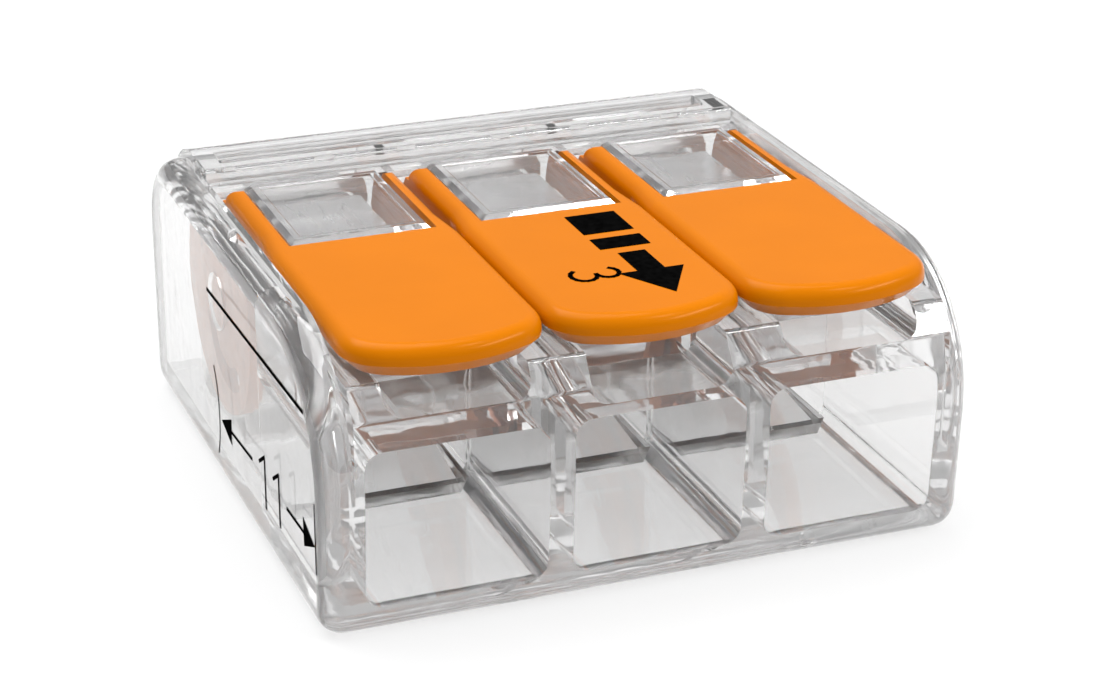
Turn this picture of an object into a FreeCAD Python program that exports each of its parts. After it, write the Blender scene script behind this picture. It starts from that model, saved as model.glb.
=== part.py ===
import FreeCAD, Part
import math
import os

# Three-pole lever connector for electric wires.
# Frame: +X to the right seen from the wire entries, -Y the side of the wire entries, +Z up.
# Origin: centre of the flat underside.  Units: millimetres.

PARTS_FOLDER = "parts"
POLE_NAMES = ("left", "middle", "right")
VERTICAL = FreeCAD.Vector(0, 0, 1)

SIZES = [
    # overall
    ("width", 18.7, "side to side"),
    ("depth", 18.6, "wire entries to back"),
    ("height", 8.3, "underside to the top of the rear strip"),
    ("pole_pitch", 5.6, "distance between neighbouring poles"),
    # housing shell
    ("floor_thick", 0.95, "thickness of the floor"),
    ("seat_half", 8.48, "half the width of the seat for the rear cover and of the lever bay"),
    ("wall_top", 8.05, "top of the side walls"),
    ("front_lean", 0.2, "how far the foot of the front stands back"),
    ("front_rise", 0.3, "upright part of the front below the side walls' radius"),
    ("front_round", 4.0, "radius from the front to the top of a side wall"),
    ("rear_round", 2.5, "radius from the top to the back"),
    ("bottom_round", 0.9, "radius along the underside"),
    ("side_round", 0.7, "radius round the edge of each side wall"),
    ("strip_front", 5.05, "front face of the raised rear strip"),
    ("rear_wall", 1.0, "thickness of the rear cover"),
    ("cover_play", 0.02, "clearance round the rear cover"),
    ("tray_half", 7.85, "half the length of the tray in the strip"),
    ("tray_front", 5.75, "front of that tray"),
    ("tray_back", 6.65, "back of that tray"),
    ("tray_deep", 0.3, "depth of that tray"),
    ("test_slot_wide", 0.6, "width of a test slot"),
    ("test_slot_front", 5.0, "front of the test slots"),
    ("test_slot_back", 5.15, "back of the test slots"),
    ("test_slot_deep", 0.12, "depth of the test slots"),
    ("test_slot_left", -2.25, "first test slot of a pole, from the pole's middle"),
    ("test_slot_right", 0.78, "second test slot of a pole, from the pole's middle"),
    # wire entries
    ("entry_half", 2.45, "half the width of a wire entry"),
    ("entry_outer", 8.22, "outer side of the two outer wire entries"),
    ("entry_top", 5.45, "top of a wire entry"),
    ("entry_round", 0.5, "corner radius of a wire entry"),
    ("entry_end", -2.6, "back end of the entry's own walls"),
    ("chamber_half", 2.66, "half the width of the clamp chamber"),
    # deck under the lever tips
    ("deck_top", 7.12, "top of the ribs that the levers rest on"),
    ("lip_top", 6.3, "top of the upright front face, where the deck's slope begins"),
    ("lip_back", -8.75, "upper end of that slope"),
    ("finger_floor", 6.3, "floor of the finger recess"),
    ("finger_half", 2.0, "half the width of the finger recess"),
    ("finger_end", -6.9, "back of the finger recess"),
    ("scoop_floor", 5.8, "floor of the deeper recess of the middle pole"),
    # window block between the two arms of a lever
    ("window_half", 2.03, "half the width of a window block"),
    ("window_front", -1.08, "front of a window block"),
    ("window_rear", 3.85, "back of a window block"),
    ("window_top", 8.18, "top of a window block"),
    ("window_under", 7.3, "underside of a window block"),
    ("window_bevel", 0.14, "bevel round the window block's top"),
    ("panel_margin", 0.34, "frame left round the sunk panel of a window block"),
    ("panel_deep", 0.1, "depth of that panel"),
    ("beam_front", 4.62, "front of the beam that carries the window blocks"),
    ("beam_back", 5.6, "back of that beam"),
    ("beam_top", 7.75, "top of that beam, the ledge in front of the strip"),
    # lever
    ("pivot_y", 1.6, "lever axis, back from the centre"),
    ("pivot_z", 5.6, "lever axis, up from the underside"),
    ("plate_top", 8.12, "top of a closed lever"),
    ("plate_thick", 0.92, "thickness of the lever's plate"),
    ("plate_half", 2.76, "half the width of the lever's plate"),
    ("taper_start", -1.5, "where the plate starts to narrow towards the arms"),
    ("taper_end", 0.1, "where it has the arms' width"),
    ("tip_side", -8.45, "front of the plate's sides, before the corners are rounded"),
    ("tip_corner", 1.4, "plan radius of the tip's corners"),
    ("tip_apex", -9.75, "front of the tip, before it is rounded"),
    ("tip_bow", 4.4, "plan radius of the tip's bowed front"),
    ("tip_fillet", 0.4, "radius along the plate's upper edge"),
    ("tip_chamfer", 0.4, "bevel under the tip"),
    ("arm_outer", 2.6, "outer side of the lever's arms"),
    ("arm_inner", 2.14, "inner side of the lever's arms"),
    ("plate_rear", 3.85, "back end of the arms' top"),
    ("notch_radius", 3.78, "radius of the lever's notch round the window block"),
    ("notch_half", 2.14, "half the width of that notch"),
    ("disc_radius", 3.3, "radius of the lever's discs"),
    ("stub_radius", 0.8, "radius of the lever's pivot stubs"),
    ("stub_end", 2.75, "outer end of the pivot stubs"),
    ("pivot_gap", 0.05, "radial clearance of the pivot stubs in the housing"),
    ("lever_turn", 90, "travel of the lever, in degrees"),
    # busbar
    ("bar_under", 0.98, "underside of the busbar"),
    ("bar_thick", 0.5, "thickness of the busbar"),
    ("bar_front", 1.0, "front edge of the busbar"),
    ("bar_half", 7.85, "half the length of the busbar"),
    ("frame_back", 5.8, "back face of the upright frames"),
    ("frame_half", 2.15, "half the width of an upright frame"),
    ("frame_top", 6.9, "top of an upright frame"),
    ("frame_window_half", 1.75, "half the width of the opening in an upright frame"),
    ("frame_window_top", 6.45, "top of the opening in an upright frame"),
    ("bar_slot", 0.05, "clearance of the busbar's slot through the partitions"),
    # clamp spring
    ("bend_y", -1.3, "centre of the spring's bend, back from the centre"),
    ("bend_z", 5.75, "centre of the spring's bend, up from the underside"),
    ("bend_radius", 0.9, "radius of the bend to the middle of the leaf"),
    ("leaf_thick", 0.3, "thickness of the leaf"),
    ("leaf_half", 1.7, "half the width of the leaf"),
    ("hook_rise", 3.9, "where the upper leg starts to rise towards its hook"),
    ("leg_tip_y", 3.2, "tip of the clamping leg, back from the centre"),
    ("leg_gap", 0.06, "gap between the clamping leg's tip and the busbar"),
    ("leg_turn", 28.8, "travel of the clamping leg, in degrees"),
    ("split_angle", 215, "where the moving part of the bend starts, in degrees round it"),
    ("split_gap", 2, "gap at that place, in degrees"),
    ("ear_place", 2.2, "distance of the ears along the clamping leg"),
    ("ear_length", 0.5, "length of the ears along the clamping leg"),
    ("ear_end", 2.5, "outer end of the ears"),
    ("ear_slot_half", 0.36, "half the width of the slot that the ears run in"),
]

document = FreeCAD.newDocument("LeverConnector")
sheet = document.addObject("Spreadsheet::Sheet", "Sizes")
for row, (alias, value, note) in enumerate(SIZES, start=1):
    sheet.set(f"A{row}", alias)
    sheet.set(f"B{row}", str(value))
    sheet.set(f"C{row}", note)
    sheet.setAlias(f"B{row}", alias)
document.recompute()


def size(alias):
    """The value of one cell of the sheet."""
    return float(sheet.get(alias))


class NodeError(Exception):
    """A sub-part that did not come out as intended."""


# ---------------------------------------------------------------- sketch outlines


def rounded_outline(sketch, corners):
    """Closed outline through (u, v) or (u, v, radius) corners, in the sketch's plane."""
    entries, exits, arcs = [], [], []
    count = len(corners)
    for index, corner in enumerate(corners):
        here = FreeCAD.Vector(corner[0], corner[1], 0)
        radius = corner[2] if len(corner) > 2 else 0
        before = FreeCAD.Vector(*corners[index - 1][:2], 0)
        after = FreeCAD.Vector(*corners[(index + 1) % count][:2], 0)
        to_before = (before - here).normalize()
        to_after = (after - here).normalize()
        if not radius:
            entries.append(here)
            exits.append(here)
            arcs.append(None)
            continue
        half_angle = to_before.getAngle(to_after) / 2
        setback = radius / math.tan(half_angle)
        bisector = (to_before + to_after).normalize()
        centre = here + bisector * (radius / math.sin(half_angle))
        entry = here + to_before * setback
        leave = here + to_after * setback
        middle = centre - bisector * radius
        entries.append(entry)
        exits.append(leave)
        arcs.append(Part.Arc(entry, middle, leave))
    for index in range(count):
        if arcs[index]:
            sketch.addGeometry(arcs[index])
        start, end = exits[index], entries[(index + 1) % count]
        if start.distanceToPoint(end) > 1e-6:
            sketch.addGeometry(Part.LineSegment(start, end))


def polar(centre, radius, angle):
    """Point at an angle in degrees round a centre (u, v)."""
    turn = math.radians(angle)
    return FreeCAD.Vector(centre[0] + radius * math.cos(turn), centre[1] + radius * math.sin(turn), 0)


def arc_between(centre, radius, start, end):
    """Arc round a centre from one angle to another, in degrees."""
    points = [polar(centre, radius, angle) for angle in (start, (start + end) / 2, end)]
    return Part.Arc(*points)


def ring_sector(sketch, centre, inner, outer, start, end):
    """Part of a ring between two angles, with straight ends."""
    sketch.addGeometry(arc_between(centre, outer, start, end))
    sketch.addGeometry(Part.LineSegment(polar(centre, outer, end), polar(centre, inner, end)))
    sketch.addGeometry(arc_between(centre, inner, end, start))
    sketch.addGeometry(Part.LineSegment(polar(centre, inner, start), polar(centre, outer, start)))


def curved_slot(sketch, centre, radius, half_width, start, end):
    """Slot along an arc, with round ends."""
    sketch.addGeometry(arc_between(centre, radius + half_width, start, end))
    sketch.addGeometry(arc_between(polar(centre, radius, end), half_width, end, end + 180))
    sketch.addGeometry(arc_between(centre, radius - half_width, end, start))
    sketch.addGeometry(arc_between(polar(centre, radius, start), half_width, start + 180, start + 360))


def circle(sketch, centre, radius):
    """Full circle."""
    sketch.addGeometry(Part.Circle(FreeCAD.Vector(centre[0], centre[1], 0), VERTICAL, radius))


def disc_below(sketch, centre, radius, top):
    """Round plate cut off level at a height."""
    rear = math.degrees(math.asin((top - centre[1]) / radius))
    front = 180 - rear
    sketch.addGeometry(arc_between(centre, radius, rear, front - 360))
    sketch.addGeometry(Part.LineSegment(polar(centre, radius, front), polar(centre, radius, rear)))


def box_corners(left, right, low, high, radius=0):
    """The four corners of a rectangle."""
    return [(left, low, radius), (right, low, radius), (right, high, radius), (left, high, radius)]


# ---------------------------------------------------------------- features


def new_body(label):
    """An empty body that becomes one sub-part."""
    body = document.addObject("PartDesign::Body", label)
    body.Label = label
    return body


def new_sketch(body, role, offset=None):
    """Sketch on one of the body's own planes, moved along its normal by an expression."""
    sketch = body.newObject("Sketcher::SketchObject", "Sketch")
    plane = next(item for item in body.Origin.OriginFeatures if item.Role == role)
    sketch.AttachmentSupport = [(plane, "")]
    sketch.MapMode = "FlatFace"
    if offset:
        sketch.setExpression("AttachmentOffset.Base.z", offset)
    return sketch


def pad(body, sketch, length):
    """Pad that is symmetric about its sketch."""
    feature = body.newObject("PartDesign::Pad", "Pad")
    feature.Profile = sketch
    feature.SideType = "Symmetric"
    feature.setExpression("Length", length)
    document.recompute()
    return feature


def pocket(body, sketch, length):
    """Pocket that is symmetric about its sketch; it has to take material away."""
    volume = body.Shape.Volume
    feature = body.newObject("PartDesign::Pocket", "Pocket")
    feature.Profile = sketch
    feature.SideType = "Symmetric"
    feature.setExpression("Length", length)
    document.recompute()
    if not body.Shape.Volume < volume:
        raise NodeError(f"{body.Label}: {feature.Name} cuts nothing")
    return feature


def along_poles(body, features):
    """Repeat features of the left pole at the other two poles."""
    pattern = body.newObject("PartDesign::LinearPattern", "Poles")
    pattern.Originals = features
    axis = next(item for item in body.Origin.OriginFeatures if item.Role == "X_Axis")
    pattern.Direction = (axis, [""])
    pattern.Occurrences = len(POLE_NAMES)
    pattern.setExpression("Length", "2 * Sizes.pole_pitch")
    body.Tip = pattern
    document.recompute()
    return pattern


def dress_edges(body, kind, amount, chosen, limit=None):
    """Fillet or Chamfer on the edges of the tip that a test picks."""
    tip = body.Tip
    names = [f"Edge{number}" for number, edge in enumerate(tip.Shape.Edges, start=1) if chosen(edge)]
    if not names or (limit and len(names) != limit):
        raise NodeError(f"{body.Label}: {kind} found {len(names)} edges")
    feature = body.newObject(f"PartDesign::{kind}", kind)
    feature.Base = (tip, names)
    feature.setExpression("Radius" if kind == "Fillet" else "Size", amount)
    document.recompute()
    return feature


def middle_of(edge):
    """Point half way along an edge."""
    return edge.valueAt((edge.FirstParameter + edge.LastParameter) / 2)


# ---------------------------------------------------------------- places worked out from the sizes

half_width = size("width") / 2
half_depth = size("depth") / 2
top = size("height")
pitch = size("pole_pitch")
floor_top = size("floor_thick")
pivot = (size("pivot_y"), size("pivot_z"))
bend = (size("bend_y"), size("bend_z"))
leaf_thick = size("leaf_thick")
bar_top = size("bar_under") + size("bar_thick")
cover_inner = half_depth - size("rear_wall")
front_foot = size("front_lean") - half_depth
wall_foot = size("wall_top") - size("front_round") - size("front_rise")
beyond = 1.0                                     # how far a cut runs past the outside
overlap = 0.1                                    # how far joined volumes reach into each other
near = 1e-4                                      # tolerance of a test for an edge's place

# clamping leg: straight from the bend's tangent point to its tip on the busbar
leg_tip = (size("leg_tip_y"), bar_top + size("leg_gap") + leaf_thick / 2)
tip_reach = math.hypot(leg_tip[0] - bend[0], leg_tip[1] - bend[1])
tip_fall = math.atan2(bend[1] - leg_tip[1], leg_tip[0] - bend[0])
leg_fall = tip_fall - math.asin(size("bend_radius") / tip_reach)
leg_length = math.sqrt(tip_reach ** 2 - size("bend_radius") ** 2)
leg_start_angle = 270 - math.degrees(leg_fall)
leg_start = polar(bend, size("bend_radius"), leg_start_angle)
leg_along = FreeCAD.Vector(math.cos(leg_fall), -math.sin(leg_fall), 0)
leg_across = FreeCAD.Vector(math.sin(leg_fall), math.cos(leg_fall), 0)


def leg_point(along, across):
    """Point of the clamping leg, from its start along the leaf and across it."""
    point = leg_start + leg_along * along + leg_across * across
    return (point.x, point.y)


def turned(point, centre, angle):
    """A point turned round a centre by an angle in degrees."""
    radius = math.hypot(point[0] - centre[0], point[1] - centre[1])
    start = math.degrees(math.atan2(point[1] - centre[1], point[0] - centre[0]))
    spot = polar(centre, radius, start + angle)
    return (spot.x, spot.y)


def ear_in_lever(share):
    """Place of the ear in the lever's own frame when it is opened by a share of its travel."""
    ear = turned(leg_point(size("ear_place"), 0), bend, size("leg_turn") * share)
    return turned(ear, pivot, size("lever_turn") * share)


def side_profile(sketch):
    """Outline of the housing's side walls."""
    wall_top = size("wall_top")
    rounding = size("bottom_round")
    rounded_outline(sketch, [
        (front_foot, 0, rounding),
        (half_depth, 0, rounding),
        (half_depth, wall_top, size("rear_round")),
        (-half_depth, wall_top, size("front_round")),
        (-half_depth, wall_foot),
    ])


# ---------------------------------------------------------------- housing


def make_housing():
    """Clear one-piece shell: floor, side walls, wire entries, partitions and window blocks."""
    body = new_body("housing")

    sketch = new_sketch(body, "YZ_Plane")
    side_profile(sketch)
    pad(body, sketch, "Sizes.width")

    dress_edges(body, "Fillet", "Sizes.side_round", lambda edge: (
        abs(abs(middle_of(edge).x) - half_width) < near))

    # front of the deck between the side walls, upright as far as its lip
    sketch = new_sketch(body, "YZ_Plane")
    rounded_outline(sketch, [
        (front_foot, 0, size("bottom_round")),
        (size("finger_end"), 0),
        (size("finger_end"), size("deck_top")),
        (size("lip_back"), size("deck_top"), 0.2),
        (-half_depth, size("lip_top"), 0.2),
        (-half_depth, wall_foot),
    ])
    pad(body, sketch, "2 * Sizes.seat_half")

    # lever bay between the side walls, from the ribs of the deck upwards, and over the beam
    sketch = new_sketch(body, "YZ_Plane")
    rounded_outline(sketch, [
        (-half_depth - beyond, size("deck_top")),
        (size("beam_front"), size("deck_top")),
        (size("beam_front"), size("beam_top")),
        (size("strip_front"), size("beam_top")),
        (size("strip_front"), top + beyond),
        (-half_depth - beyond, top + beyond),
    ])
    pocket(body, sketch, "2 * Sizes.seat_half")

    # seat of the rear cover
    sketch = new_sketch(body, "YZ_Plane")
    inner_round = size("rear_round") - size("rear_wall")
    rounded_outline(sketch, [
        (cover_inner, -beyond),
        (cover_inner, top - size("rear_wall"), inner_round),
        (size("beam_back"), top - size("rear_wall")),
        (size("beam_back"), size("beam_top")),
        (size("strip_front") - overlap, size("beam_top")),
        (size("strip_front") - overlap, top + beyond),
        (half_depth + beyond, top + beyond),
        (half_depth + beyond, -beyond),
    ])
    pocket(body, sketch, "2 * Sizes.seat_half")

    # clamp chamber of each pole, and the entry walls in front of it
    sketch = new_sketch(body, "YZ_Plane", "-Sizes.pole_pitch")
    rounded_outline(sketch, [
        (size("entry_end"), floor_top),
        (cover_inner + overlap, floor_top),
        (cover_inner + overlap, top),
        (size("beam_back"), top),
        (size("beam_back"), size("deck_top")),
        (size("beam_front"), size("deck_top")),
        (size("beam_front"), top),
        (size("entry_end"), top),
    ])
    chamber = pocket(body, sketch, "2 * Sizes.chamber_half")
    along_poles(body, [chamber])

    for place in (-1, 0, 1):
        sketch = new_sketch(body, "XZ_Plane", "(Sizes.depth / 2 + 1 - Sizes.entry_end) / 2")
        left = place * pitch - size("entry_half") if place >= 0 else -size("entry_outer")
        right = place * pitch + size("entry_half") if place <= 0 else size("entry_outer")
        rounded_outline(sketch, box_corners(
            left, right, floor_top, size("entry_top"), size("entry_round")))
        pocket(body, sketch, "Sizes.depth / 2 + 1 + Sizes.entry_end")

    # finger recess under each lever's tip, deeper at the middle pole
    for place, cell in ((-1, "finger_floor"), (0, "scoop_floor"), (1, "finger_floor")):
        sketch = new_sketch(body, "XZ_Plane", "(Sizes.depth / 2 + 1 - Sizes.finger_end) / 2")
        centre = place * pitch
        floor = size(cell)
        half = size("finger_half")
        rounded_outline(sketch, [
            (centre - half, floor, size("entry_round")),
            (centre + half, floor, size("entry_round")),
            (centre + half, size("deck_top") + beyond),
            (centre - half, size("deck_top") + beyond),
        ])
        pocket(body, sketch, "Sizes.depth / 2 + 1 + Sizes.finger_end")

    # slot for the busbar through the foot of the partitions, open at the back
    sketch = new_sketch(body, "YZ_Plane")
    rounded_outline(sketch, box_corners(
        size("bar_front") - size("bar_slot"), cover_inner + overlap, floor_top, bar_top + size("bar_slot")))
    pocket(body, sketch, "2 * (Sizes.bar_half + Sizes.bar_slot)")

    # line bore for the levers' pivot stubs
    sketch = new_sketch(body, "YZ_Plane")
    circle(sketch, pivot, size("stub_radius") + size("pivot_gap"))
    pocket(body, sketch, "2 * (Sizes.pole_pitch + Sizes.stub_end + 2 * Sizes.pivot_gap)")

    # window blocks, carried by the beam behind them
    sketch = new_sketch(body, "YZ_Plane", "-Sizes.pole_pitch")
    rounded_outline(sketch, [
        (size("window_front"), size("window_under")),
        (size("strip_front"), size("window_under")),
        (size("strip_front"), size("beam_top")),
        (size("window_rear"), size("beam_top")),
        (size("window_rear"), size("window_top")),
        (size("window_front"), size("window_top")),
    ])
    block = pad(body, sketch, "2 * Sizes.window_half")
    along_poles(body, [block])
    dress_edges(body, "Chamfer", "Sizes.window_bevel", lambda edge: (
        abs(middle_of(edge).z - size("window_top")) < near))
    for place in (-1, 0, 1):
        sketch = new_sketch(body, "XY_Plane", "Sizes.window_top")
        half = size("window_half") - size("panel_margin")
        rounded_outline(sketch, box_corners(
            place * pitch - half, place * pitch + half,
            size("window_front") + size("panel_margin"), size("window_rear") - size("panel_margin")))
        pocket(body, sketch, "2 * Sizes.panel_deep")
    return body


# ---------------------------------------------------------------- rear cover


def make_rear_cover():
    """Clear L-shaped cover: back wall and raised strip, between the housing's side walls."""
    body = new_body("rear_cover")
    play = size("cover_play")
    inner_round = size("rear_round") - size("rear_wall")
    under_strip = size("beam_top") + play
    sketch = new_sketch(body, "YZ_Plane")
    rounded_outline(sketch, [
        (size("strip_front"), under_strip),
        (size("beam_back") + play, under_strip),
        (size("beam_back") + play, top - size("rear_wall")),
        (cover_inner + play, top - size("rear_wall"), inner_round),
        (cover_inner + play, 0),
        (half_depth, 0, size("bottom_round")),
        (half_depth, top, size("rear_round")),
        (size("strip_front"), top, 0.12),
    ])
    pad(body, sketch, "2 * (Sizes.seat_half - Sizes.cover_play)")

    # shallow tray along the strip
    sketch = new_sketch(body, "XY_Plane", "Sizes.height")
    rounded_outline(sketch, box_corners(
        -size("tray_half"), size("tray_half"), size("tray_front"), size("tray_back"), 0.15))
    pocket(body, sketch, "2 * Sizes.tray_deep")

    # test slots at the strip's front edge, two to each pole
    for place in (-1, 0, 1):
        for cell in ("test_slot_left", "test_slot_right"):
            sketch = new_sketch(body, "XY_Plane", "Sizes.height")
            middle = place * pitch + size(cell)
            rounded_outline(sketch, box_corners(
                middle - size("test_slot_wide") / 2, middle + size("test_slot_wide") / 2,
                size("test_slot_front"), size("test_slot_back")))
            pocket(body, sketch, "2 * Sizes.test_slot_deep")
    return body


# ---------------------------------------------------------------- busbar


def make_busbar():
    """Tinned copper strip across the poles with an upright frame at each pole."""
    body = new_body("busbar")
    sketch = new_sketch(body, "YZ_Plane")
    rounded_outline(sketch, box_corners(
        size("bar_front"), size("frame_back"), size("bar_under"), bar_top, 0.08))
    pad(body, sketch, "2 * Sizes.bar_half")

    sketch = new_sketch(body, "XZ_Plane", "-(Sizes.frame_back - Sizes.bar_thick / 2)")
    half = size("frame_half")
    rounded_outline(sketch, [
        (-pitch - half, size("bar_under") + overlap),
        (-pitch + half, size("bar_under") + overlap),
        (-pitch + half, size("frame_top"), 0.4),
        (-pitch - half, size("frame_top"), 0.4),
    ])
    upright = pad(body, sketch, "Sizes.bar_thick")
    along_poles(body, [upright])

    for place in (-1, 0, 1):
        sketch = new_sketch(body, "XZ_Plane", "-(Sizes.frame_back - Sizes.bar_thick / 2)")
        centre = place * pitch
        rounded_outline(sketch, box_corners(
            centre - size("frame_window_half"), centre + size("frame_window_half"),
            bar_top, size("frame_window_top"), 0.25))
        pocket(body, sketch, "2 * Sizes.bar_thick")
    return body


# ---------------------------------------------------------------- clamp springs


def make_clamp_spring(pole, place):
    """Fixed part of a leaf spring: the bend and the leg that hooks into the busbar's frame."""
    body = new_body(f"clamp_spring_{pole}")
    inner = size("bend_radius") - leaf_thick / 2
    outer = size("bend_radius") + leaf_thick / 2
    sketch = new_sketch(body, "YZ_Plane")
    ring_sector(sketch, bend, inner, outer, 90, size("split_angle"))
    pad(body, sketch, "2 * Sizes.leaf_half")

    upper = bend[1] + outer
    lower = bend[1] + inner
    sliver = 0.001                               # keeps the leg's faces off the bend's seams
    hook_level = size("frame_window_top") - 0.04
    hook_back = size("frame_back") + 0.05
    sketch = new_sketch(body, "YZ_Plane")
    rounded_outline(sketch, [
        (bend[0] - 0.05, lower + sliver),
        (size("hook_rise"), lower + sliver, 0.4),
        (size("hook_rise") + 0.8, hook_level - leaf_thick, 0.4),
        (hook_back + leaf_thick, hook_level - leaf_thick, 0.4),
        (hook_back + leaf_thick, size("frame_top")),
        (hook_back, size("frame_top")),
        (hook_back, hook_level, 0.1),
        (size("hook_rise") + 0.9, hook_level, 0.7),
        (size("hook_rise") + overlap, upper - sliver, 0.7),
        (bend[0] - 0.05, upper - sliver),
    ])
    pad(body, sketch, "2 * (Sizes.frame_window_half - 0.25)")
    body.setExpression("Placement.Base.x", f"{place} * Sizes.pole_pitch")
    return body


def make_spring_leg(pole, place):
    """Moving part of a leaf spring: the clamping leg with the ears that the lever lifts."""
    body = new_body(f"spring_leg_{pole}")
    inner = size("bend_radius") - leaf_thick / 2
    outer = size("bend_radius") + leaf_thick / 2
    half = leaf_thick / 2
    sketch = new_sketch(body, "YZ_Plane")
    ring_sector(sketch, bend, inner, outer, size("split_angle") + size("split_gap"), leg_start_angle)
    pad(body, sketch, "2 * Sizes.leaf_half")

    sketch = new_sketch(body, "YZ_Plane")
    rounded_outline(sketch, [
        leg_point(-0.02, half), leg_point(leg_length, half),
        leg_point(leg_length - half, -half), leg_point(-0.02, -half)])
    pad(body, sketch, "2 * Sizes.leaf_half")

    sketch = new_sketch(body, "YZ_Plane")
    start = size("ear_place") - size("ear_length") / 2
    end = size("ear_place") + size("ear_length") / 2
    rounded_outline(sketch, [
        leg_point(start, half) + (0.08,), leg_point(end, half) + (0.08,),
        leg_point(end, -half) + (0.08,), leg_point(start, -half) + (0.08,)])
    pad(body, sketch, "2 * Sizes.ear_end")
    body.setExpression("Placement.Base.x", f"{place} * Sizes.pole_pitch")
    return body


# ---------------------------------------------------------------- levers


def make_lever(pole, place):
    """Lever: finger plate, two arms round the window block, two discs with a slot for the ears."""
    body = new_body(f"lever_{pole}")
    plate_top = size("plate_top")
    plate_under = plate_top - size("plate_thick")
    half = size("plate_half")
    arm = size("arm_outer")
    taper_start = size("taper_start")

    # plate seen from above, with a bowed tip
    sketch = new_sketch(body, "XY_Plane", "Sizes.plate_top - Sizes.plate_thick / 2")
    rounded_outline(sketch, [
        (-half, size("tip_side"), size("tip_corner")),
        (0, size("tip_apex"), size("tip_bow")),
        (half, size("tip_side"), size("tip_corner")),
        (half, taper_start),
        (arm, size("taper_end")),
        (arm, size("plate_rear")),
        (-arm, size("plate_rear")),
        (-arm, size("taper_end")),
        (-half, taper_start),
    ])
    pad(body, sketch, "Sizes.plate_thick")
    dress_edges(body, "Chamfer", "Sizes.tip_chamfer", lambda edge: (
        abs(middle_of(edge).z - plate_under) < near
        and middle_of(edge).y < size("tip_side") + size("tip_corner") / 2))

    # notch round the window block
    sketch = new_sketch(body, "YZ_Plane")
    circle(sketch, pivot, size("notch_radius"))
    pocket(body, sketch, "2 * Sizes.notch_half")

    # discs, one under each arm, and their pivot stubs
    for sign in (-1, 1):
        sketch = new_sketch(body, "YZ_Plane", f"{sign} * (Sizes.arm_outer + Sizes.arm_inner) / 2")
        disc_below(sketch, pivot, size("disc_radius"), plate_top - size("tip_fillet") - 0.05)
        pad(body, sketch, "Sizes.arm_outer - Sizes.arm_inner")
        sketch = new_sketch(body, "YZ_Plane", f"{sign} * (Sizes.arm_outer + Sizes.stub_end) / 2")
        circle(sketch, pivot, size("stub_radius"))
        pad(body, sketch, "Sizes.stub_end - Sizes.arm_outer + 0.02")

    # slot that lifts the ears of the clamping leg
    path = [FreeCAD.Vector(*ear_in_lever(share), 0) for share in (0, 0.5, 1)]
    track = Part.Arc(*path).toShape().Curve
    centre = (track.Center.x, track.Center.y)
    angles = []
    for point in (path[0], path[2]):
        angle = math.degrees(math.atan2(point.y - centre[1], point.x - centre[0]))
        angles.append(angle if angle < 0 else angle - 360)
    sketch = new_sketch(body, "YZ_Plane")
    curved_slot(sketch, centre, track.Radius, size("ear_slot_half"), min(angles), max(angles))
    pocket(body, sketch, "2 * Sizes.stub_end")

    # rounded rim of the plate and arms
    dress_edges(body, "Fillet", "Sizes.tip_fillet", lambda edge: (
        abs(middle_of(edge).z - plate_top) < near
        and abs(middle_of(edge).x) > size("notch_half") + 0.01))
    body.setExpression("Placement.Base.x", f"{place} * Sizes.pole_pitch")
    return body


# ---------------------------------------------------------------- build, check and write

nodes = [make_housing(), make_rear_cover(), make_busbar()]
for place, pole in enumerate(POLE_NAMES, start=-1):
    nodes.append(make_clamp_spring(pole, place))
    nodes.append(make_spring_leg(pole, place))
    nodes.append(make_lever(pole, place))
document.recompute()

for item in document.Objects:
    if {"Invalid", "Error"} & set(item.State):
        raise NodeError(f"{item.Label}: {item.State}")
for node in nodes:
    shape = node.Shape
    if shape.isNull() or not shape.isValid() or len(shape.Solids) != 1:
        raise NodeError(f"{node.Label}: not one valid solid")

os.makedirs(PARTS_FOLDER, exist_ok=True)
for node in nodes:
    node.Shape.exportStep(f"{PARTS_FOLDER}/{node.Label}.step")
    box = node.Shape.BoundBox
    print(f"{node.Label:22s} {node.Shape.Volume:9.3f} mm3  "
          f"x {box.XMin:.2f}..{box.XMax:.2f}  y {box.YMin:.2f}..{box.YMax:.2f}  "
          f"z {box.ZMin:.2f}..{box.ZMax:.2f}")
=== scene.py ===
import math

import bmesh
import bpy
from mathutils import Matrix, Vector


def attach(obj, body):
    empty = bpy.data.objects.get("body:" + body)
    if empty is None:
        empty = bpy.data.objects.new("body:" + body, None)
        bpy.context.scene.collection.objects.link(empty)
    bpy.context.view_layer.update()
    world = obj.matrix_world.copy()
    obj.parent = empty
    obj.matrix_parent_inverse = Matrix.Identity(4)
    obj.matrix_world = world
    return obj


# Looks of the three-pole lever connector.  All lengths are written in millimetres and turned into metres by mm().

MM = 0.001
LEVER_TOP = 8.12
HALF_WIDTH = 9.35
INK_LOW, INK_HIGH = 0.004, 0.014  # underside and top of the printed layer above its surface
SHARP_ANGLE = 35  # edges that turn more than this many degrees are softened
FLOOR_REACH = 1500
FLOOR_GAP = 0.02
CAMERA_DISTANCE = 80.0
MID_HEIGHT = 4.15
POLES = {"left": -5.6, "middle": 0.0, "right": 5.6}
STEP_FRONT = -3.6
STEP_PROFILE = [(STEP_FRONT, 0.96), (-3.45, 1.2), (-3.3, 1.28), (0.98, 1.28), (0.98, 0.96)]
STEP_HALF = 2.3
STEP_CORNER = 0.35

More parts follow.
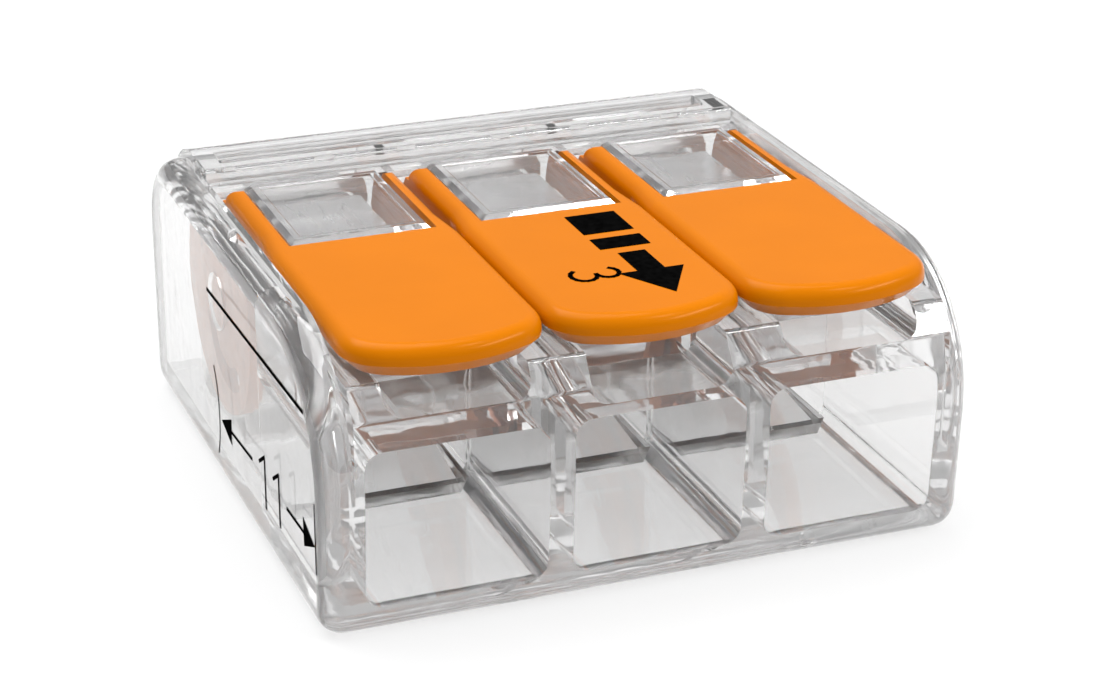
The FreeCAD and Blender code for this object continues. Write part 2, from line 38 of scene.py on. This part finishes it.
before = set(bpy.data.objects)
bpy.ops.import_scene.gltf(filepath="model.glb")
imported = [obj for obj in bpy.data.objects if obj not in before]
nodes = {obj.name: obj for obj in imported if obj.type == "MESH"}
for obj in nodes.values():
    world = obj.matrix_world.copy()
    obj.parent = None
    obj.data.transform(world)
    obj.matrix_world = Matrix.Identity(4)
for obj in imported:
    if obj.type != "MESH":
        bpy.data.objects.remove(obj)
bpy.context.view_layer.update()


def mm(*values):
    """A vector in metres from values in millimetres."""
    return Vector(values) * MM


# ---------------------------------------------------------------- materials


def new_material(name):
    """Empty node material with its Principled shader."""
    material = bpy.data.materials.new(name)
    material.use_nodes = True
    return material, material.node_tree, material.node_tree.nodes["Principled BSDF"]


def link(tree, start, end):
    """Connects two sockets."""
    tree.links.new(start, end)


def noise(tree, scale, detail=2.0, roughness=0.5, stretch=(1, 1, 1)):
    """Noise in the row frame; scale is waves per millimetre."""
    coords = tree.nodes.new("ShaderNodeTexCoord")
    mapping = tree.nodes.new("ShaderNodeMapping")
    mapping.inputs["Scale"].default_value = Vector(stretch) / MM
    texture = tree.nodes.new("ShaderNodeTexNoise")
    texture.inputs["Scale"].default_value = scale
    texture.inputs["Detail"].default_value = detail
    texture.inputs["Roughness"].default_value = roughness
    link(tree, coords.outputs["Object"], mapping.inputs["Vector"])
    link(tree, mapping.outputs["Vector"], texture.inputs["Vector"])
    return texture.outputs["Fac"]


def remap(tree, value, low, high, start=0.3, end=0.7):
    """A 0-1 value spread from low to high."""
    node = tree.nodes.new("ShaderNodeMapRange")
    node.inputs["From Min"].default_value = start
    node.inputs["From Max"].default_value = end
    node.inputs["To Min"].default_value = low
    node.inputs["To Max"].default_value = high
    link(tree, value, node.inputs["Value"])
    return node.outputs["Result"]


def bump(tree, shader, height, distance, strength=1.0):
    """Bump of a height in millimetres."""
    node = tree.nodes.new("ShaderNodeBump")
    node.inputs["Distance"].default_value = distance * MM
    node.inputs["Strength"].default_value = strength
    link(tree, height, node.inputs["Height"])
    link(tree, node.outputs["Normal"], shader.inputs["Normal"])


def clear_plastic(name, tint, clearness, waviness):
    """Clear moulded polycarbonate: glossy, very slightly wavy from the mould."""
    material, tree, shader = new_material(name)
    shader.inputs["Base Color"].default_value = tint
    shader.inputs["Transmission Weight"].default_value = clearness
    shader.inputs["IOR"].default_value = 1.585
    link(tree, remap(tree, noise(tree, 1.3, 3), 0.012, 0.05), shader.inputs["Roughness"])
    bump(tree, shader, noise(tree, 0.55, 2, 0.45), waviness)
    return material


def orange_plastic(name):
    """Opaque orange moulded plastic with a fine satin skin."""
    material, tree, shader = new_material(name)
    mix = tree.nodes.new("ShaderNodeMix")
    mix.data_type = "RGBA"
    mix.inputs["A"].default_value = (0.505, 0.140, 0.0004, 1)
    mix.inputs["B"].default_value = (0.53, 0.148, 0.0005, 1)
    link(tree, remap(tree, noise(tree, 0.35, 3), 0, 1), mix.inputs["Factor"])
    link(tree, mix.outputs["Result"], shader.inputs["Base Color"])
    link(tree, remap(tree, noise(tree, 6, 3), 0.2, 0.26), shader.inputs["Roughness"])
    shader.inputs["IOR"].default_value = 1.5
    shader.inputs["Specular IOR Level"].default_value = 0.11
    shader.inputs["Specular Tint"].default_value = (1, 0.6, 0.3, 1)
    bump(tree, shader, noise(tree, 0.5, 2), 0.004)
    return material


def rolled_metal(name, colour, low, high, grain):
    """Rolled and plated metal with a fine grain along the strip."""
    material, tree, shader = new_material(name)
    shader.inputs["Metallic"].default_value = 0.85
    shader.inputs["Base Color"].default_value = colour
    link(tree, remap(tree, noise(tree, 1.5, 4, 0.6, grain), low, high), shader.inputs["Roughness"])
    bump(tree, shader, noise(tree, 4, 4, 0.6, grain), 0.004)
    return material


def set_material(obj, material):
    """Gives an object this one material."""
    obj.data.materials.clear()
    obj.data.materials.append(material)


clear_shell = clear_plastic("clear_shell_look", (0.96, 0.96, 0.96, 1), 0.96, 0.012)
clear_cover = clear_plastic("clear_cover_look", (0.96, 0.96, 0.96, 1), 0.96, 0.012)
orange = orange_plastic("orange_lever_look")
# colour, least and greatest roughness, stretch of the grain
tinned = rolled_metal("tinned_copper_look", (0.90, 0.895, 0.88, 1), 0.22, 0.38, (0.15, 1, 1))
steel = rolled_metal("spring_steel_look", (0.86, 0.86, 0.87, 1), 0.18, 0.32, (1, 0.15, 0.15))

for name, node in nodes.items():
    if name == "housing":
        set_material(node, clear_shell)
    elif name == "rear_cover":
        set_material(node, clear_cover)
    elif name == "busbar":
        set_material(node, tinned)
    elif name.startswith("lever"):
        set_material(node, orange)
    else:
        set_material(node, steel)


def soften_edges(node, width):
    """Small round on every sharp edge of a CAD node, as a modifier."""
    bevel = node.modifiers.new("soft_edges", "BEVEL")
    bevel.width = width * MM
    bevel.segments = 2
    bevel.limit_method = "ANGLE"
    bevel.angle_limit = math.radians(SHARP_ANGLE)
    bevel.use_clamp_overlap = True
    bevel.harden_normals = False


soften_edges(nodes["housing"], 0.14)
soften_edges(nodes["rear_cover"], 0.08)

# ---------------------------------------------------------------- steps at the ends of the entries


def entry_step(pole, centre):
    """Low step of the housing where an entry meets its chamber, with a bevelled front edge."""
    mesh = bmesh.new()
    narrow = STEP_HALF - STEP_CORNER
    widening = 1.3
    rows = []
    for place, height in STEP_PROFILE:
        half = min(STEP_HALF, narrow + (place - STEP_FRONT) * widening)
        rows.append([mesh.verts.new(mm(centre + side * half, place, height)) for side in (-1, 1)])
    for row, after in zip(rows, rows[1:] + rows[:1]):
        mesh.faces.new((row[0], row[1], after[1], after[0]))
    mesh.faces.new([row[0] for row in rows])
    mesh.faces.new([row[1] for row in rows])
    bmesh.ops.recalc_face_normals(mesh, faces=mesh.faces)
    data = bpy.data.meshes.new("entry_step_" + pole)
    mesh.to_mesh(data)
    mesh.free()
    data.materials.append(clear_shell)
    obj = bpy.data.objects.new("entry_step_" + pole, data)
    bpy.context.scene.collection.objects.link(obj)
    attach(obj, "shell")


for pole, centre in POLES.items():
    entry_step(pole, centre)

# ---------------------------------------------------------------- printed marks


def ink_material():
    """Matt black printing ink."""
    material, tree, shader = new_material("black_ink_look")
    mix = tree.nodes.new("ShaderNodeMix")
    mix.data_type = "RGBA"
    mix.inputs["A"].default_value = (0.001, 0.001, 0.001, 1)
    mix.inputs["B"].default_value = (0.003, 0.003, 0.003, 1)
    link(tree, remap(tree, noise(tree, 5, 3), 0, 1), mix.inputs["Factor"])
    link(tree, mix.outputs["Result"], shader.inputs["Base Color"])
    link(tree, remap(tree, noise(tree, 8, 3), 0.5, 0.7), shader.inputs["Roughness"])
    shader.inputs["IOR"].default_value = 1.05
    shader.inputs["Specular IOR Level"].default_value = 0.01
    return material


def stroke(points, width):
    """Corners of the four-sided pieces of a line of even width through points (u, v)."""
    pieces = []
    for start, end in zip(points, points[1:]):
        start, end = Vector(start), Vector(end)
        along = (end - start).normalized()
        side = Vector((-along.y, along.x)) * width / 2
        reach = along * width * 0.3
        pieces.append([start - reach + side, start - reach - side, end + reach - side, end + reach + side])
    return pieces


def arc(centre, across, up, start, end, count=10):
    """Points along part of an ellipse, angles in degrees."""
    turns = [math.radians(start + (end - start) * step / count) for step in range(count + 1)]
    return [(centre[0] + across * math.cos(turn), centre[1] + up * math.sin(turn)) for turn in turns]


def printed(name, pieces, place, body):
    """Thin ink layer from flat outlines (u, v); place turns (u, v, height) into the row frame in millimetres."""
    mesh = bmesh.new()
    for piece in pieces:
        low = [mesh.verts.new(mm(*place(u, v, INK_LOW))) for u, v in piece]
        high = [mesh.verts.new(mm(*place(u, v, INK_HIGH))) for u, v in piece]
        mesh.faces.new(low)
        mesh.faces.new(high)
        count = len(piece)
        for index in range(count):
            after = (index + 1) % count
            mesh.faces.new((low[index], low[after], high[after], high[index]))
    bmesh.ops.recalc_face_normals(mesh, faces=mesh.faces)
    data = bpy.data.meshes.new(name)
    mesh.to_mesh(data)
    mesh.free()
    data.materials.append(ink)
    obj = bpy.data.objects.new(name, data)
    bpy.context.scene.collection.objects.link(obj)
    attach(obj, body)


def on_lever(u, v, height):
    """Top of the middle lever: u towards the tip, v to the right."""
    return (v, -u, LEVER_TOP + height)


def on_left_side(u, v, height):
    """Left outer side: u towards the front, v upwards."""
    return (-HALF_WIDTH - height, -u, v)


def lever_mark():
    """Plain sign on the middle lever: a bold arrow towards the tip over two blocks, and the number 3."""
    pieces = [
        [(1.8, 0.15), (3.3, 0.15), (3.3, 1.65), (1.8, 1.65)],
        [(3.7, 0.15), (4.5, 0.15), (4.5, 1.65), (3.7, 1.65)],
        [(4.9, 0.5), (6.3, 0.5), (6.3, 1.3), (4.9, 1.3)],
        [(6.3, -0.05), (8.0, 0.9), (6.3, 1.85)],
    ]
    pieces += stroke(arc((6.1, -0.3), 0.34, 0.32, 150, -90), 0.13)
    pieces += stroke(arc((6.1, -0.98), 0.4, 0.36, 90, -150), 0.13)
    return pieces


def strip_gauge():
    """Stripping gauge on the left side: two arrows between end marks, with the number 11, and a line above."""
    pieces = stroke([(-1.9, 5.9), (7.75, 6.18)], 0.11)
    pieces += stroke(arc((-2.3, 2.2), 1.2, 1.9, 50, -40), 0.06)
    pieces += stroke([(0.1, 2.3), (2.4, 2.45)], 0.1)
    pieces += [[(-0.85, 2.24), (0.25, 2.72), (0.2, 1.9)]]
    pieces += stroke([(3.2, 2.75), (3.75, 3.1), (3.75, 1.55)], 0.11)
    pieces += stroke([(4.6, 2.85), (5.15, 3.2), (5.15, 1.65)], 0.11)
    pieces += stroke([(5.9, 2.55), (7.7, 2.62)], 0.1)
    pieces += [[(8.5, 2.66), (7.45, 3.05), (7.5, 2.22)]]
    pieces += stroke([(8.54, 3.9), (8.54, 1.9)], 0.06)
    return pieces


ink = ink_material()
printed("lever_print", lever_mark(), on_lever, "lever_middle")
printed("gauge_print", strip_gauge(), on_left_side, "shell")

# ---------------------------------------------------------------- studio


def studio_floor():
    """Wide white floor just under the part; it glows a little, like a light table."""
    mesh = bpy.data.meshes.new("floor")
    reach = FLOOR_REACH * MM
    corners = [(-reach, -reach, 0), (reach, -reach, 0), (reach, reach, 0), (-reach, reach, 0)]
    mesh.from_pydata(corners, [], [(0, 1, 2, 3)])
    obj = bpy.data.objects.new("floor", mesh)
    bpy.context.scene.collection.objects.link(obj)
    obj.location.z = -FLOOR_GAP * MM
    material, tree, shader = new_material("floor_look")
    shader.inputs["Base Color"].default_value = (0.20, 0.20, 0.20, 1)
    shader.inputs["Roughness"].default_value = 0.9
    shader.inputs["Emission Color"].default_value = (1, 1, 1, 1)
    shader.inputs["Emission Strength"].default_value = 0.72
    mesh.materials.append(material)


def studio_world():
    """Bright world, darker towards the horizon and behind the object."""
    world = bpy.data.worlds.new("studio")
    bpy.context.scene.world = world
    world.use_nodes = True
    tree = world.node_tree
    background = tree.nodes["Background"]
    coords = tree.nodes.new("ShaderNodeTexCoord")
    split = tree.nodes.new("ShaderNodeSeparateXYZ")
    ramp = tree.nodes.new("ShaderNodeValToRGB")
    ramp.color_ramp.elements[0].position = 0.0
    ramp.color_ramp.elements[0].color = (0.4, 0.4, 0.4, 1)
    ramp.color_ramp.elements[1].position = 0.5
    ramp.color_ramp.elements[1].color = (1.2, 1.2, 1.2, 1)
    link(tree, coords.outputs["Generated"], split.inputs["Vector"])
    link(tree, split.outputs["Z"], ramp.inputs["Fac"])
    behind = remap(tree, split.outputs["Y"], 1.0, 0.8, 0.2, 0.95)
    shade = tree.nodes.new("ShaderNodeMix")
    shade.data_type = "RGBA"
    shade.blend_type = "MULTIPLY"
    shade.inputs["Factor"].default_value = 1.0
    link(tree, ramp.outputs["Color"], shade.inputs["A"])
    link(tree, behind, shade.inputs["B"])
    link(tree, shade.outputs["Result"], background.inputs["Color"])
    background.inputs["Strength"].default_value = 0.52


def soft_light(name, place, target, width, height, power):
    """Rectangular soft light aimed at a point; millimetres and watts."""
    data = bpy.data.lights.new(name, "AREA")
    data.shape = "RECTANGLE"
    data.size = width * MM
    data.size_y = height * MM
    data.energy = power
    obj = bpy.data.objects.new(name, data)
    bpy.context.scene.collection.objects.link(obj)
    obj.location = mm(*place)
    obj.rotation_euler = (mm(*target) - obj.location).to_track_quat("-Z", "Y").to_euler()


def camera():
    """Camera at the viewing angle: azimuth, elevation, roll, distance and the point looked at."""
    azimuth, elevation, roll = math.radians(-21.35), math.radians(23.36), math.radians(0.26)
    back = Vector((
        math.sin(azimuth) * math.cos(elevation), -math.cos(azimuth) * math.cos(elevation), math.sin(elevation)))
    level = Vector((math.cos(azimuth), math.sin(azimuth), 0))
    upright = back.cross(level)
    right = level * math.cos(roll) + upright * math.sin(roll)
    up = upright * math.cos(roll) - level * math.sin(roll)
    look_at = Vector((0, 0, MID_HEIGHT)) + right * 0.504 - up * 0.701
    data = bpy.data.cameras.new("camera")
    data.sensor_width = 36
    data.lens = 88.55
    data.clip_start = 0.001
    obj = bpy.data.objects.new("camera", data)
    bpy.context.scene.collection.objects.link(obj)
    obj.matrix_world = (
        Matrix.Translation((look_at + back * CAMERA_DISTANCE) * MM) @ Matrix((right, up, back)).transposed().to_4x4())
    bpy.context.scene.camera = obj


studio_floor()
studio_world()
soft_light("top_light", (-30, 40, 150), (0, 0, 4), 140, 140, 0.30)
soft_light("right_light", (92, -78, 84), (0, -6, 6), 76, 14, 0.1)
soft_light("rim_light", (50, -56, 124), (0, -6, 8), 20, 20, 0.03)
camera()
bpy.context.scene.view_settings.view_transform = "Standard"
cycles = bpy.context.scene.cycles
cycles.max_bounces = 32
cycles.glossy_bounces = 20
cycles.transmission_bounces = 32
